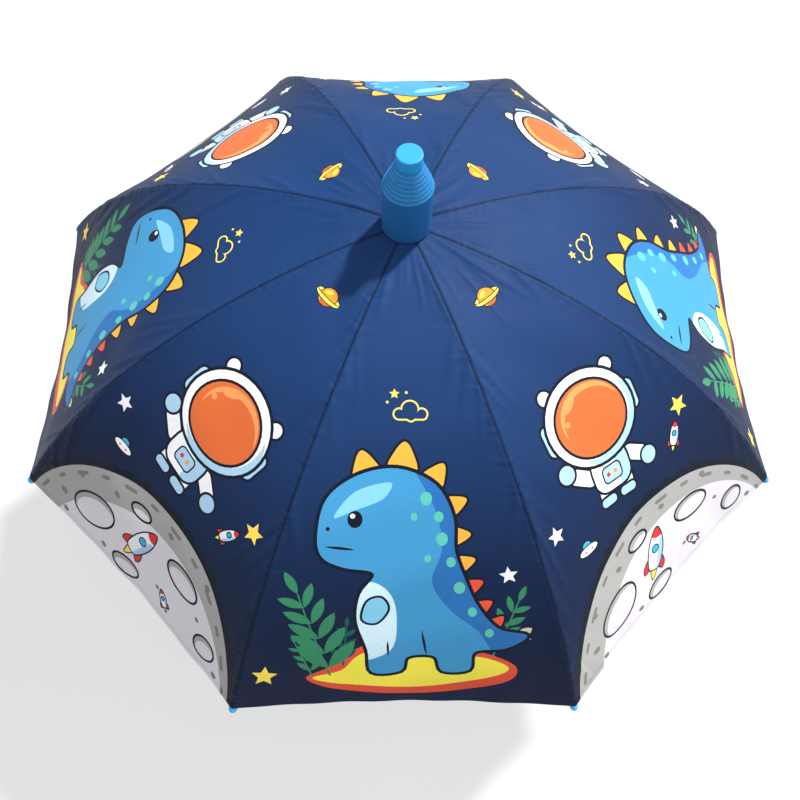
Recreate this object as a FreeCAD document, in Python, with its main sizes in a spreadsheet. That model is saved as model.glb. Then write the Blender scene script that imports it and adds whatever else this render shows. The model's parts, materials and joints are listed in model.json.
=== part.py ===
"""Children's stick umbrella with eight ribs, a hook handle and a telescopic drip sleeve.

Millimetres, +Z up. The origin is on the shaft's axis, level with the lowest point of the hook.
The umbrella stands open. Rib 1 points to the front left, 22.5 degrees off the front (-Y), and the
others follow anticlockwise seen from above. Gore 1 is the front panel, between ribs 1 and 2.
"""

import FreeCAD, Part
import math
import os
import Sketcher

from FreeCAD import Placement, Rotation, Vector

DIMENSIONS = {
    # the dome: ribs and cloth follow arcs about one centre on the shaft's axis
    "dome_centre": 99.0,
    "dome_radius": 504.0,
    "dome_reach": 415.0,
    "cloth": 1.0,
    "gore_gap": 0.1,
    "sector": 45.0,
    "first_rib": -112.5,
    # ribs
    "rib_drop": 3.0,
    "rib_wire": 1.5,
    "hinge_circle": 9.5,
    "link": 190.0,
    "rivet_drop": 4.5,
    "flex_offset": 1.2,
    "eye_outer": 2.4,
    "eye_hole": 0.68,
    "plate": 1.2,
    "wire_ring": 0.6,
    # stretchers and their rivets
    "channel_width": 3.0,
    "channel_height": 2.6,
    "channel_wall": 0.5,
    "rivet_pin": 0.8,
    "rivet_head": 1.4,
    # shaft
    "shaft_outer": 4.0,
    "shaft_bore": 3.4,
    "shaft_foot": 62.0,
    "shaft_slide": 0.08,
    # crown and runner
    "hub_core": 6.5,
    "hub_outer": 12.5,
    "rib_slot": 3.4,
    "eye_slot": 1.8,
    "runner_stem": 34.0,
    # spring catches
    "catch_thick": 1.0,
    "catch_reach": 2.4,
    "catch_length": 26.0,
    # drip sleeve
    "sleeve_outer": 22.1,
    "sleeve_length": 54.5,
    "sleeve_wall": 0.7,
    "sleeve_pitch": 1.55,
    "sleeve_step": 3.7,
    "sleeve_lip": 0.6,
    "cap_outer": 11.1,
    "cap_rise": 34.5,
    # rib tips
    "socket_radius": 2.2,
    "socket_length": 11.0,
    "bead_radius": 4.1,
    # closing strap
    "strap_length": 210.0,
    "strap_width": 18.0,
    "strap_thick": 1.2,
    "strap_sewn_end": 140.0,
    "strap_lift": 0.3,
    # handle
    "grip_radius": 10.0,
    "hook_radius": 27.0,
    "hook_rise": 14.0,
    "grip_top": 98.0,
    "collar_top": 108.0,
}

RIB_COUNT = 8
RING_COUNT = 7
REAR_GORE = 5
PIVOT_GAP = 0.05
CLOSED_ANGLE = 2.5
UP = Vector(0, 0, 1)
ACROSS = Vector(0, 1, 0)

doc = FreeCAD.newDocument("umbrella")
sheet = doc.addObject("Spreadsheet::Sheet", "Dims")


class Size:
    """A dimension that carries its value and the sheet formula that gives it."""

    def __init__(self, value, formula):
        self.value = float(value)
        self.formula = formula

    def __add__(self, other):
        other = size(other)
        return Size(self.value + other.value, f"({self.formula} + {other.formula})")

    def __sub__(self, other):
        other = size(other)
        return Size(self.value - other.value, f"({self.formula} - {other.formula})")

    def __mul__(self, other):
        other = size(other)
        return Size(self.value * other.value, f"({self.formula} * {other.formula})")

    def __truediv__(self, other):
        other = size(other)
        return Size(self.value / other.value, f"({self.formula} / {other.formula})")


def size(number):
    """A plain number as a Size; a Size stays as it is."""
    return number if isinstance(number, Size) else Size(number, str(number))


def fill_sheet():
    """Write the driving dimensions, and return each one as a Size by its name."""
    sizes = {}
    for row, (name, value) in enumerate(DIMENSIONS.items(), start=1):
        sheet.set(f"A{row}", name)
        sheet.set(f"B{row}", str(value))
        sheet.setAlias(f"B{row}", name)
        sizes[name] = Size(value, f"Dims.{name}")
    doc.recompute()
    return sizes


D = fill_sheet()
APEX = D["dome_centre"] + D["dome_radius"]
RIB_RADIUS = D["dome_radius"] - D["rib_drop"]
RIVET_RADIUS = RIB_RADIUS - D["rivet_drop"]


# ---------------------------------------------------------------- geometry of the fold


def on_arc(radius, angle):
    """A point in the XZ plane on an arc about the dome's centre, at an angle in degrees off +Z."""
    turn = math.radians(angle)
    return Vector(radius * math.sin(turn), 0, D["dome_centre"].value + radius * math.cos(turn))


ROOT_ANGLE = math.degrees(math.asin(D["hinge_circle"].value / RIB_RADIUS.value))
TIP_ANGLE = math.degrees(math.asin(D["dome_reach"].value / D["dome_radius"].value))


def rivet_angle():
    """Where the rivet sits on its arc, so that it is one link's length from the crown hinge."""
    far, near, link = RIB_RADIUS.value, RIVET_RADIUS.value, D["link"].value
    return ROOT_ANGLE + math.degrees(math.acos((far**2 + near**2 - link**2) / (2 * far * near)))


CROWN_HINGE = on_arc(RIB_RADIUS.value, ROOT_ANGLE)
RIVET_ANGLE = rivet_angle()
RIVET = on_arc(RIVET_RADIUS.value, RIVET_ANGLE)
RUNNER_DROP = 2 * (CROWN_HINGE.z - RIVET.z)
RUNNER_HINGE = CROWN_HINGE - UP * RUNNER_DROP
OPEN_ANGLE = math.degrees(math.acos(RUNNER_DROP / (2 * D["link"].value)))
FLEX_ANGLE = RIVET_ANGLE + D["flex_offset"].value
CLOSED_DROP = 2 * D["link"].value * math.cos(math.radians(CLOSED_ANGLE))
CLOSED_RUNNER = CROWN_HINGE.z - CLOSED_DROP


# ---------------------------------------------------------------- helpers


def add(kind, name, placement=None, **sizes):
    """Add a Part object with its sizes bound to the sheet, at a placement."""
    thing = doc.addObject(kind, name)
    for prop, value in sizes.items():
        value = size(value)
        setattr(thing, prop, value.value)
        thing.setExpression(prop, value.formula)
    thing.Placement = placement or Placement()
    return thing


def across_pin(name, point, radius, length):
    """A cylinder centred on a point, with its axis along Y."""
    start = point - ACROSS * (size(length).value / 2)
    return add("Part::Cylinder", name, Placement(start, Rotation(Vector(1, 0, 0), -90)),
               Radius=radius, Height=length)


def block(name, frame, corner, length, width, height):
    """A box in a local frame, from its lowest corner."""
    return add("Part::Box", name, frame * Placement(Vector(*corner), Rotation()),
               Length=length, Width=width, Height=height)


def fuse(name, parts):
    """Join parts into one solid."""
    thing = doc.addObject("Part::MultiFuse", name)
    thing.Shapes = parts
    thing.Refine = True
    return thing


def cut(name, base, tools):
    """Take one or more tools away from a base."""
    tool = tools[0] if len(tools) == 1 else fuse(name + "_tools", tools)
    thing = doc.addObject("Part::Cut", name)
    thing.Base = base
    thing.Tool = tool
    return thing


def copies(label, master):
    """Eight placed copies of a part that is modelled in the plane of azimuth 0, one for each rib."""
    return [copy_at(label.format(k), master, azimuth(k)) for k in range(1, RIB_COUNT + 1)]


def azimuth(rib):
    """The azimuth of a rib in degrees, from +X anticlockwise."""
    return D["first_rib"].value + D["sector"].value * (rib - 1)


def copy_at(label, master, turn):
    """A copy of a part, turned about the shaft's axis."""
    thing = doc.addObject("Part::Compound", label)
    thing.Label = label
    thing.Links = [master]
    thing.Placement = Placement(Vector(), Rotation(UP, turn))
    return thing


def origin_plane(body, role):
    """A body's own origin plane, by its role."""
    return next(o for o in body.Origin.OriginFeatures if o.Role == role)


def attached_sketch(body, name, role):
    """An empty sketch on one of a body's origin planes."""
    sketch = body.newObject("Sketcher::SketchObject", name)
    sketch.AttachmentSupport = (origin_plane(body, role), [""])
    sketch.MapMode = "FlatFace"
    return sketch


def bind_corner(sketch, edge, across, up):
    """Hold the start of an edge at distances from the sketch's origin that follow the sheet."""
    for kind, value in (("DistanceX", across), ("DistanceY", up)):
        value = size(value)
        number = sketch.addConstraint(Sketcher.Constraint(kind, -1, 1, edge, 1, value.value))
        sketch.setExpression(f"Constraints[{number}]", value.formula)


def closed_outline(sketch, corners):
    """Draw a closed polygon whose corners are bound to the sheet."""
    points = [Vector(size(x).value, size(y).value, 0) for x, y in corners]
    for here, there in zip(points, points[1:] + points[:1]):
        sketch.addGeometry(Part.LineSegment(here, there))
    last = len(points) - 1
    for edge in range(len(points)):
        follower = 0 if edge == last else edge + 1
        sketch.addConstraint(Sketcher.Constraint("Coincident", edge, 2, follower, 1))
    for edge, (x, y) in enumerate(corners):
        bind_corner(sketch, edge, x, y)


def turned(label, corners):
    """A body turned about the shaft's axis from an outline of (radius, height) corners."""
    body = doc.addObject("PartDesign::Body", label)
    body.Label = label
    sketch = attached_sketch(body, label + "_outline", "XZ_Plane")
    closed_outline(sketch, corners)
    turn = body.newObject("PartDesign::Revolution", label + "_turn")
    turn.Profile = sketch
    turn.ReferenceAxis = (sketch, ["V_Axis"])
    turn.Angle = 360
    return body


def wire_circle(name, height):
    """A ring of wire that threads eight eyes."""
    return add("Part::Torus", name, Placement(Vector(0, 0, height), Rotation()),
               Radius1=D["hinge_circle"], Radius2=D["wire_ring"])


def slot_star(name, low, high, width):
    """Eight radial slots outside the hub's core, as one tool."""
    slots = []
    reach = D["hub_outer"].value * 2
    for rib in range(1, RIB_COUNT + 1):
        frame = Placement(Vector(), Rotation(UP, azimuth(rib)))
        corner = (D["hub_core"].value, -width.value / 2, low)
        slots.append(block(f"{name}_{rib}", frame, corner, reach, width, high - low))
    return fuse(name, slots)


# ---------------------------------------------------------------- shaft, crown and top


def catch_blade(label, edge, point):
    """A spring catch in a slot of the shaft: its edge stops the runner, and it tapers to its point."""
    body = doc.addObject("PartDesign::Body", label)
    body.Label = label
    sketch = attached_sketch(body, label + "_outline", "XZ_Plane")
    inside = D["shaft_bore"] - 2.2
    outside = D["shaft_outer"] + D["catch_reach"]
    flush = D["shaft_outer"] - 0.3
    closed_outline(sketch, [(inside, edge), (outside, edge), (flush, point), (inside, point)])
    pad = body.newObject("PartDesign::Pad", label + "_pad")
    pad.Profile = sketch
    pad.setExpression("Length", D["catch_thick"].formula)
    pad.Midplane = True
    return body


def catch_slot(name, low):
    """The slot in the shaft's wall that a catch works through."""
    width = D["catch_thick"] + 0.4
    corner = (0.5, -width.value / 2, low - 1.0)
    return block(name, Placement(), corner, D["shaft_outer"] * 2, width, D["catch_length"] + 2.0)


TOP_CATCH_EDGE = RUNNER_HINGE.z - D["runner_stem"].value - 0.6
LOW_CATCH_EDGE = CLOSED_RUNNER + 4.4


def shaft():
    """The steel tube, from inside the grip to inside the ferrule, with a slot for each catch."""
    length = APEX + 11.0 - D["shaft_foot"]
    foot = Placement(Vector(0, 0, D["shaft_foot"].value), Rotation())
    outer = add("Part::Cylinder", "shaft_outside", foot, Radius=D["shaft_outer"], Height=length)
    inner = add("Part::Cylinder", "shaft_inside", foot, Radius=D["shaft_bore"], Height=length)
    tube = cut("shaft_tube", outer, [
        inner,
        catch_slot("top_slot", TOP_CATCH_EDGE - D["catch_length"].value),
        catch_slot("bottom_slot", LOW_CATCH_EDGE),
    ])
    tube.Label = "shaft_tube"
    return tube


def crown():
    """The notched hub at the top of the shaft that holds the ribs' hinge ring."""
    low = CROWN_HINGE.z - 5.0
    high = APEX - 0.8
    disc = add("Part::Cylinder", "crown_disc", Placement(Vector(0, 0, low), Rotation()),
               Radius=D["hub_outer"], Height=high - low)
    bore = add("Part::Cylinder", "crown_bore", Placement(Vector(0, 0, low - 1), Rotation()),
               Radius=D["shaft_outer"], Height=high - low + 2.0)
    groove = wire_circle("crown_groove", CROWN_HINGE.z)
    slots = slot_star("crown_slots", low - 1.0, high.value + 1.0, D["rib_slot"])
    hub = cut("crown", disc, [bore, groove, slots])
    hub.Label = "crown"
    return hub


def canopy_washer():
    """The flat washer that clamps the cloth's centre against the crown."""
    return turned("canopy_washer", [
        (D["shaft_outer"], APEX + 0.6),
        (10.8, APEX + 0.6),
        (10.8, APEX + 1.4),
        (D["shaft_outer"], APEX + 1.4),
    ])


def ferrule():
    """The plastic ferrule on the shaft's end, which carries the drip cap."""
    sleeve_end = APEX + 11.0
    top = APEX + D["sleeve_length"] + D["cap_rise"] - 4.0
    return turned("ferrule", [
        (D["shaft_outer"], APEX + 1.4),
        (6.0, APEX + 1.4),
        (6.0, APEX + 5.0),
        (5.2, APEX + 16.0),
        (4.0, top),
        (0.0, top),
        (0.0, sleeve_end),
        (D["shaft_outer"], sleeve_end),
    ])


def drip_cap():
    """The cap on the ferrule, with the long core tube that holds the innermost sleeve ring."""
    top = APEX + D["sleeve_length"] + D["cap_rise"] + 1.2
    foot = APEX + 3.4
    outer = D["cap_outer"]
    inner = outer - 1.3
    return turned("drip_cap", [
        (0.0, top),
        (outer - 1.2, top),
        (outer - 0.35, top - 0.35),
        (outer, top - 1.2),
        (outer, foot + 1.4),
        (outer + D["sleeve_lip"], foot + 1.2),
        (outer + D["sleeve_lip"], foot),
        (inner, foot),
        (inner, top - 4.0),
        (6.0, top - 5.0),
        (6.0, top - 14.0),
        (4.6, top - 14.0),
        (4.6, top - 4.9),
        (0.0, top - 4.9),
    ])


def sleeve_ring(number):
    """One ring of the drip sleeve: a tube with a sloped shoulder that has a fine step in it.

    Ring 1 is the outermost, and each next one is smaller and taller.
    """
    inward = number - 1
    outer = D["sleeve_outer"] - D["sleeve_pitch"] * inward
    inner = outer - D["sleeve_wall"]
    foot = APEX + 1.2 + 0.3 * inward
    top = APEX + 1.2 + D["sleeve_length"] + D["sleeve_step"] * inward
    middle = top - D["sleeve_step"] / 2 - 0.2
    shoulder = top - D["sleeve_step"] + 0.1
    lip = D["sleeve_lip"]
    foot_edge = outer + (lip if inward else 0.0)
    return turned(f"sleeve_ring_{number}", [
        (inner, foot),
        (foot_edge, foot),
        (foot_edge, foot + 1.0),
        (outer, foot + 1.6),
        (outer, shoulder),
        (outer - 0.45, middle),
        (outer - 0.7, middle),
        (outer - 1.1, top),
        (inner - lip, top),
        (inner - lip, top - 1.6),
        (inner, shoulder - 0.5),
    ])


# ---------------------------------------------------------------- runner and catches


def runner():
    """The sliding hub: a notched collar for the stretchers' hinge ring, on a stem that a hand grips."""
    low = RUNNER_HINGE.z - 4.0
    high = RUNNER_HINGE.z + 3.4
    stem_foot = RUNNER_HINGE.z - D["runner_stem"].value
    bore = D["shaft_outer"] + D["shaft_slide"]
    core = D["hub_core"]
    blank = turned("runner_blank", [
        (bore, stem_foot),
        (core + 1.6, stem_foot),
        (core + 1.6, stem_foot + 2.0),
        (core, stem_foot + 3.0),
        (core, low - 3.0),
        (D["hub_outer"], low),
        (D["hub_outer"], high),
        (bore, high),
    ])
    groove = wire_circle("runner_groove", RUNNER_HINGE.z)
    slots = slot_star("runner_slots", low - 4.0, high + 1.0, D["eye_slot"])
    hub = cut("runner", blank, [groove, slots])
    hub.Label = "runner"
    return hub


def hinge_ring(label, height):
    """The ring of wire that the eyes turn on."""
    ring = wire_circle(label, height)
    ring.Label = label
    return ring


# ---------------------------------------------------------------- ribs, stretchers and tips


def rib_arc(name, start, end):
    """A stretch of rib wire between two angles on the rib's arc."""
    upright = Placement(Vector(0, 0, D["dome_centre"].value), Rotation(Vector(1, 0, 0), 90))
    turn = Placement(Vector(), Rotation(UP, 90 - end))
    return add("Part::Torus", name, upright * turn,
               Radius1=RIB_RADIUS, Radius2=D["rib_wire"], Angle3=end - start)


def rib_inner():
    """The rib from its eye on the crown to just past the rivet, with a lug below for the rivet."""
    wire = rib_arc("inner_wire", ROOT_ANGLE + 0.2, FLEX_ANGLE - 0.006)
    eye = across_pin("inner_eye", CROWN_HINGE, D["eye_outer"], D["plate"])
    frame = Placement(RIVET, Rotation(ACROSS, RIVET_ANGLE))
    corner = (-2.0, -D["plate"].value / 2, 0)
    lug = block("lug_plate", frame, corner, 4.0, D["plate"], D["rivet_drop"])
    lug_end = across_pin("lug_end", RIVET, 2.0, D["plate"])
    solid = fuse("inner_solid", [wire, eye, lug, lug_end])
    eye_hole = across_pin("eye_hole", CROWN_HINGE, D["eye_hole"], 6.0)
    pin_hole = across_pin("lug_hole", RIVET, D["rivet_pin"] + PIVOT_GAP, 6.0)
    return cut("rib_inner_master", solid, [eye_hole, pin_hole])


def rib_outer():
    """The rib from just past the rivet to its tip."""
    return rib_arc("rib_outer_master", FLEX_ANGLE + 0.006, TIP_ANGLE)


def rib_tip():
    """The plastic tip on a rib's end: a short socket and an egg-shaped bead."""
    frame = Placement(on_arc(RIB_RADIUS.value, TIP_ANGLE), Rotation(ACROSS, 90 + TIP_ANGLE))
    grip, long_radius = 9.0, 5.0
    start = frame * Placement(Vector(0, 0, -grip), Rotation())
    socket = add("Part::Cylinder", "tip_socket", start,
                 Radius=D["socket_radius"], Height=D["socket_length"])
    bead = add("Part::Ellipsoid", "tip_bead", frame * Placement(Vector(0, 0, 4.2), Rotation()),
               Radius1=long_radius, Radius2=D["bead_radius"], Radius3=D["bead_radius"])
    bore = add("Part::Cylinder", "tip_bore", start, Radius=D["rib_wire"] + 0.2, Height=grip + 0.2)
    return cut("rib_tip_master", fuse("tip_solid", [socket, bead]), [bore])


def stretcher():
    """A channel from the rivet on the rib to the runner's hinge ring, with its rivet."""
    along = (RUNNER_HINGE - RIVET).normalize()
    frame = Placement(RIVET, Rotation(ACROSS, math.degrees(math.atan2(-along.z, along.x))))
    half_width, half_height = D["channel_width"].value / 2, D["channel_height"].value / 2
    wall = D["channel_wall"]
    length = D["link"] - 4.0
    hollow = D["channel_width"] - wall * 2
    channel = block("channel", frame, (-2.0, -half_width, -half_height),
                    length, D["channel_width"], D["channel_height"])
    trough = block("trough", frame, (-3.0, -hollow.value / 2, -half_height - 1.0),
                   length + 2.0, hollow, D["channel_height"] - wall + 1.0)
    relief = block("relief", frame, (-3.0, -hollow.value / 2, -half_height - 1.0),
                   6.6, hollow, D["channel_height"] + 2.0)
    folded = cut("channel_folded", channel, [trough, relief])
    tongue = block("tongue", frame, (D["link"].value - 12.0, -D["plate"].value / 2, -1.1),
                   12.0, D["plate"], 2.2)
    eye = across_pin("runner_eye", RUNNER_HINGE, D["eye_outer"], D["plate"])
    solid = fuse("stretcher_solid", [folded, tongue, eye])
    bored = cut("stretcher_bored", solid, [
        across_pin("runner_eye_hole", RUNNER_HINGE, D["eye_hole"], 6.0),
        across_pin("rivet_hole", RIVET, D["rivet_pin"], 6.0),
    ])
    head = 0.5
    pin = across_pin("rivet_pin", RIVET, D["rivet_pin"], D["channel_width"])
    heads = [
        across_pin(f"rivet_head_{side}", RIVET + ACROSS * (sign * (half_width + head / 2)),
                   D["rivet_head"], head)
        for side, sign in (("left", 1), ("right", -1))
    ]
    pair = doc.addObject("Part::Compound", "stretcher_master")
    pair.Links = [bored, fuse("rivet", [pin] + heads)]
    return pair


# ---------------------------------------------------------------- cloth


def curved_panel(name, radius):
    """A solid bounded by the cloth's surface: straight across a gore, and curved like a rib along it."""
    half_sector = math.cos(math.radians(D["sector"].value / 2))
    centre = Vector(0, 0, D["dome_centre"].value)
    outline = add("Part::Ellipse", name + "_outline",
                  Placement(centre, Rotation(Vector(1, 1, 1), -120)),
                  MajorRadius=radius, MinorRadius=radius * half_sector)
    panel = doc.addObject("Part::Extrusion", name)
    panel.Base = outline
    panel.DirMode = "Custom"
    panel.Dir = ACROSS
    panel.Solid = True
    panel.Symmetric = True
    panel.setExpression("LengthFwd", D["dome_reach"].formula)
    return panel


def gore():
    """One panel of cloth, centred on azimuth 0, from the crown to its hem."""
    half = D["cloth"] / 2
    skin = cut("gore_skin", curved_panel("gore_over", D["dome_radius"] + half),
               [curved_panel("gore_under", D["dome_radius"] - half)])
    spread = math.tan(math.radians(D["sector"].value / 2))
    near, far = size(6.4), D["dome_reach"] * 1.1
    hem = on_arc(D["dome_radius"].value, TIP_ANGLE).z
    wedge = add("Part::Wedge", "gore_wedge", Placement(Vector(0, 0, hem), Rotation(UP, -90)),
                Ymin=near, Ymax=far,
                Xmin=(D["gore_gap"] - near) * spread, Xmax=(near - D["gore_gap"]) * spread,
                X2min=(D["gore_gap"] - far) * spread, X2max=(far - D["gore_gap"]) * spread,
                Zmin=0.0, Z2min=0.0,
                Zmax=APEX + 2.0 - hem, Z2max=APEX + 2.0 - hem)
    panel = doc.addObject("Part::Common", "gore_master")
    panel.Base = skin
    panel.Tool = wedge
    return panel


def closing_strap():
    """The strap that ties the closed umbrella, lying on the rear gore just above its hem."""
    slope = TIP_ANGLE - 2.2
    half_sector = math.cos(math.radians(D["sector"].value / 2))
    surface = on_arc(D["dome_radius"].value, slope)
    surface.x *= half_sector
    tilt = math.degrees(math.atan2(surface.x / half_sector**2,
                                   surface.z - D["dome_centre"].value))
    width, length = D["strap_width"], D["strap_length"]
    frame = Placement(surface, Rotation(ACROSS, tilt))
    lift = D["cloth"].value / 2 + D["strap_lift"].value
    corner = (-width.value / 2, D["strap_sewn_end"].value - length.value, lift)
    strip = block("strap_strip", frame, corner, width, length, D["strap_thick"])
    return copy_at("closing_strap", strip, 90.0)


# ---------------------------------------------------------------- handle


def handle_hook():
    """The grip and its hook, one moulding with a socket for the shaft."""
    radius, bend = D["grip_radius"], D["hook_radius"]
    low = bend + radius
    level = Vector(0, 0, low.value)
    grip = add("Part::Cylinder", "grip", Placement(level, Rotation()),
               Radius=radius, Height=D["grip_top"] - low)
    far = Vector(2 * bend.value, 0, low.value)
    hook_turn = Placement(Vector(bend.value, 0, low.value), Rotation(Vector(1, 0, 0), 90))
    half_turn = Placement(Vector(), Rotation(UP, 180))
    hook = add("Part::Torus", "hook", hook_turn * half_turn,
               Radius1=bend, Radius2=radius, Angle3=180.0)
    rise = D["hook_rise"]
    end = add("Part::Cylinder", "hook_end", Placement(far, Rotation()), Radius=radius, Height=rise)
    tip = Placement(far + UP * rise.value, Rotation())
    ball = add("Part::Sphere", "hook_ball", tip, Radius=radius)
    socket = add("Part::Cylinder", "grip_socket",
                 Placement(Vector(0, 0, D["shaft_foot"].value), Rotation()),
                 Radius=D["shaft_outer"], Height=D["grip_top"])
    handle = cut("handle_hook", fuse("handle_solid", [grip, hook, end, ball]), [socket])
    handle.Label = "handle_hook"
    return handle


def handle_collar():
    """The ring that finishes the top of the grip."""
    radius = D["grip_radius"]
    return turned("handle_collar", [
        (D["shaft_outer"], D["grip_top"]),
        (radius + 0.8, D["grip_top"]),
        (radius + 1.2, D["grip_top"] + 1.0),
        (radius + 1.2, D["grip_top"] + 4.0),
        (radius - 1.5, D["collar_top"] - 1.0),
        (radius - 2.5, D["collar_top"]),
        (D["shaft_outer"], D["collar_top"]),
    ])


# ---------------------------------------------------------------- the whole umbrella


def build():
    """Make every sub-part, each under its own label."""
    parts = [
        shaft(),
        crown(),
        hinge_ring("crown_wire", CROWN_HINGE.z),
        canopy_washer(),
        ferrule(),
        drip_cap(),
        handle_hook(),
        handle_collar(),
        runner(),
        hinge_ring("runner_wire", RUNNER_HINGE.z),
        catch_blade("top_catch", size(TOP_CATCH_EDGE), TOP_CATCH_EDGE - D["catch_length"].value),
        catch_blade("bottom_catch", size(LOW_CATCH_EDGE), LOW_CATCH_EDGE + D["catch_length"].value),
        closing_strap(),
    ]
    parts += [sleeve_ring(number) for number in range(1, RING_COUNT + 1)]
    parts += copies("rib_{}_inner", rib_inner())
    parts += copies("rib_{}_outer", rib_outer())
    parts += copies("stretcher_{}", stretcher())
    parts += copies("tip_{}", rib_tip())
    panel = gore()
    for number in range(1, RIB_COUNT + 1):
        parts.append(copy_at(f"gore_{number}", panel, azimuth(number) + D["sector"].value / 2))
    return parts


def check(parts):
    """Stop if any object failed, or if a sub-part is empty or not valid."""
    for thing in doc.Objects:
        if "Invalid" in thing.State or "Error" in thing.State:
            raise RuntimeError(f"{thing.Label} failed: {thing.State}")
    for thing in parts:
        if thing.Shape.isNull() or not thing.Shape.isValid() or thing.Shape.Volume <= 0:
            raise RuntimeError(f"{thing.Label} has no valid solid")


def export(parts):
    """Write each sub-part to its own file."""
    os.makedirs("parts", exist_ok=True)
    for thing in parts:
        thing.Shape.exportStep(f"parts/{thing.Label}.step")


umbrella = build()
doc.recompute()
check(umbrella)
export(umbrella)
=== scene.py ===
import json
import math

import bpy
import numpy as np
from mathutils import Matrix, Vector
from mathutils.geometry import delaunay_2d_cdt

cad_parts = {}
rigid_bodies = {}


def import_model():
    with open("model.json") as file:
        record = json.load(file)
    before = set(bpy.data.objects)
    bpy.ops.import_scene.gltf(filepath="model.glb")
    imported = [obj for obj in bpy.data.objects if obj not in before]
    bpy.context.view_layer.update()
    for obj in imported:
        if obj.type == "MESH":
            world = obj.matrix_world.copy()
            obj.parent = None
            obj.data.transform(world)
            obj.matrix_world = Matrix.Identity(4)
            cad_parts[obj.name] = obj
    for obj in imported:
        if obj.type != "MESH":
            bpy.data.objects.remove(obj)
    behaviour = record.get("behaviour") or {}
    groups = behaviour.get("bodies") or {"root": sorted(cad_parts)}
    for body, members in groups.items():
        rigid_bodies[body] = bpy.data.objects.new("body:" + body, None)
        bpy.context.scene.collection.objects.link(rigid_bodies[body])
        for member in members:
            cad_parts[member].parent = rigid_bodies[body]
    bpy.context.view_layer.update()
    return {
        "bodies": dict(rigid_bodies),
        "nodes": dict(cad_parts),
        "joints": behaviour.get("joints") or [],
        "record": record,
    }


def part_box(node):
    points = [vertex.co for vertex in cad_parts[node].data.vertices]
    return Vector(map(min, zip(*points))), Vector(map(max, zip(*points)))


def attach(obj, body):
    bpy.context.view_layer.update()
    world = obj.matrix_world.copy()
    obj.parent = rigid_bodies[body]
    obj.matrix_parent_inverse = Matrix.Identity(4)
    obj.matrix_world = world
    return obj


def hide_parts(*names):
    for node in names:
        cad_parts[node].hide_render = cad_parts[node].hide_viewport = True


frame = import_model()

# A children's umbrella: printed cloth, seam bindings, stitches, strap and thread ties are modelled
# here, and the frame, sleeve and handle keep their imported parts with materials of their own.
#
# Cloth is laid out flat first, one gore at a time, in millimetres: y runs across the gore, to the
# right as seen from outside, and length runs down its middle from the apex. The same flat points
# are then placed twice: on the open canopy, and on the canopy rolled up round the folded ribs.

MM = 0.001
GORES = 8
SECTOR = math.tau / GORES
HALF = SECTOR / 2
FIRST_GORE = -math.pi / 2
STRAP_GORE = 5

front_low, front_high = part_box("gore_1")
HEM_Z = front_low.z / MM
APEX_Z = front_high.z / MM - 0.5
REACH = front_high.x / MM / math.sin(HALF)
RISE = APEX_Z - HEM_Z
DOME = (REACH**2 + RISE**2) / (2 * RISE)
DOME_Z = APEX_Z - DOME
TIP_ANGLE = math.asin(REACH / DOME)

CROWN_HOLE = 7.0
CLOTH_THICK = 0.3
HEM_FOLD = 7.0
HEM_STITCH = 5.4
STITCH_PITCH = 3.2
SAG = 7.5
TAPE_WIDTH = 6.8
STRAP_START = -70.0
STRAP_END = 140.0
STRAP_WIDTH = 18.0
STRAP_THICK = 1.2
STRAP_LIFT = 0.3
STRAP_STITCH = 6.6
STRAP_TIED = 165.0
LAYER_GAP = 0.5
FLOOR_RADIUS = 40.0

COLOURS = {
    "navy": "123464",
    "navy_hem": "0c1733",
    "strap": "0e2143",
    "black": "0d0e13",
    "skin": "4297c9",
    "skin_dark": "2b6fb3",
    "skin_light": "86cdec",
    "belly": "d4f0fa",
    "mint": "5cc4b0",
    "plate": "f4b13a",
    "ember": "ea5330",
    "sand": "fff04a",
    "leaf": "35885a",
    "leaf_dark": "1f5a4c",
    "beige": "d9cba9",
    "star": "ffdf55",
    "white": "f4f4f6",
    "suit_shade": "a9cfe8",
    "visor": "dd6a2c",
    "visor_light": "f09a58",
    "planet": "f0992c",
    "planet_dark": "c2621c",
    "moon": "e2dde3",
    "moon_grey": "a9a8a4",
    "moon_dark": "7c7c76",
    "red": "d8322f",
    "glass": "3fb4d6",
}


# ---------------- flat shapes for the print


def moved(points, at, scale=1.0, turn=0.0):
    """Points scaled and turned about their origin, by degrees, then moved."""
    c, s = math.cos(math.radians(turn)) * scale, math.sin(math.radians(turn)) * scale
    return [(at[0] + x * c - y * s, at[1] + x * s + y * c) for x, y in points]


def polar(middle, radius, degrees):
    """The point at a distance and a bearing from the middle."""
    angle = math.radians(degrees)
    return middle[0] + radius * math.cos(angle), middle[1] + radius * math.sin(angle)


def ellipse(x, y, across, down=None, turn=0.0, count=36):
    """An ellipse, or a circle if only one radius is given."""
    down = down or across
    angles = [math.tau * step / count for step in range(count)]
    points = [(across * math.cos(angle), down * math.sin(angle)) for angle in angles]
    return moved(points, (x, y), turn=turn)


def star(x, y, radius, turn=0.0):
    """A five-pointed star."""
    reaches = (radius, radius * 0.46)
    return [polar((x, y), reaches[step % 2], turn - 90 + 36 * step) for step in range(10)]


def blob(controls, steps=5):
    """A smooth closed curve through the control points."""
    count = len(controls)
    points = []
    for i in range(count):
        before, start, end, after = (np.array(controls[(i + k) % count], float)
                                     for k in (-1, 0, 1, 2))
        for step in range(steps):
            t = step / steps
            point = 0.5 * (2 * start + (end - before) * t
                           + (2 * before - 5 * start + 4 * end - after) * t**2
                           + (3 * start - before - 3 * end + after) * t**3)
            points.append(tuple(point))
    return points


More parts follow.
